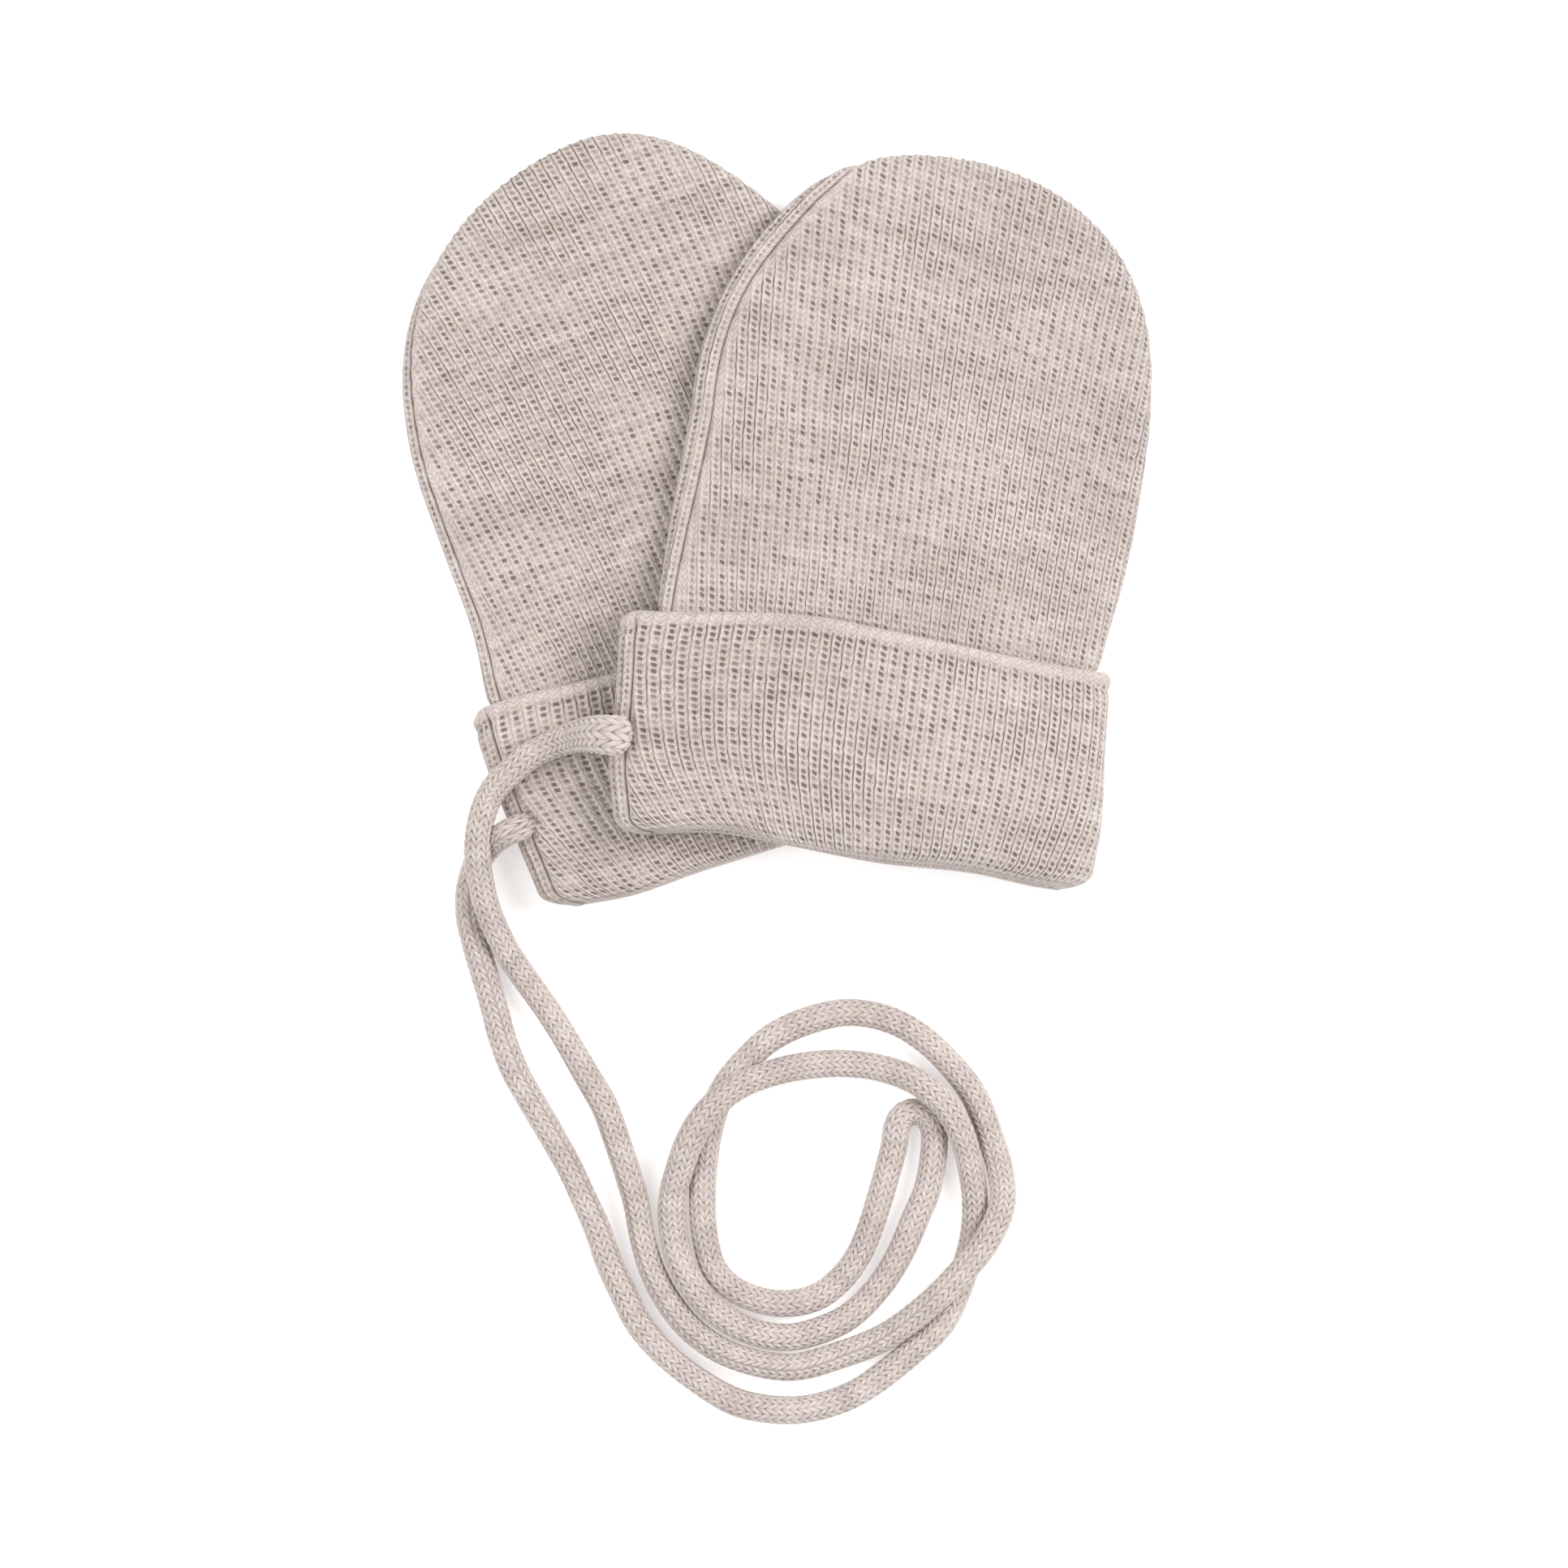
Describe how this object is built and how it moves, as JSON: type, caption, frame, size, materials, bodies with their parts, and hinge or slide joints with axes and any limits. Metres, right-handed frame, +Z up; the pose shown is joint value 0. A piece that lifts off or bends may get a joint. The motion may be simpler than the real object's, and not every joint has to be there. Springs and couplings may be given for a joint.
{
  "type": "pair of baby mittens on a cord",
  "caption": "Pair of thumbless baby mittens in rib knit with turned-up cuffs, joined by a round knitted cord and laid flat, one partly on the other.",
  "frame": {"origin": "middle of the two mittens' box, on the surface they lie on, measured without the cord", "axes": "+Z up from the surface, +Y towards the mittens' round tops, +X to the right as seen from above"},
  "size_m": [0.1192, 0.2059, 0.0218],
  "materials": {
    "rib_knit": "matte wool rib knit, mottled beige",
    "cord_knit": "matte wool knitted cord, mottled beige"
  },
  "bodies": {
    "root": {"left_body_front": "rib_knit", "left_body_back": "rib_knit", "left_cuff_front": "rib_knit", "left_cuff_back": "rib_knit", "right_body_front": "rib_knit", "right_body_back": "rib_knit", "right_cuff_front": "rib_knit", "right_cuff_back": "rib_knit", "cord": "cord_knit"}
  },
  "joints": []
}
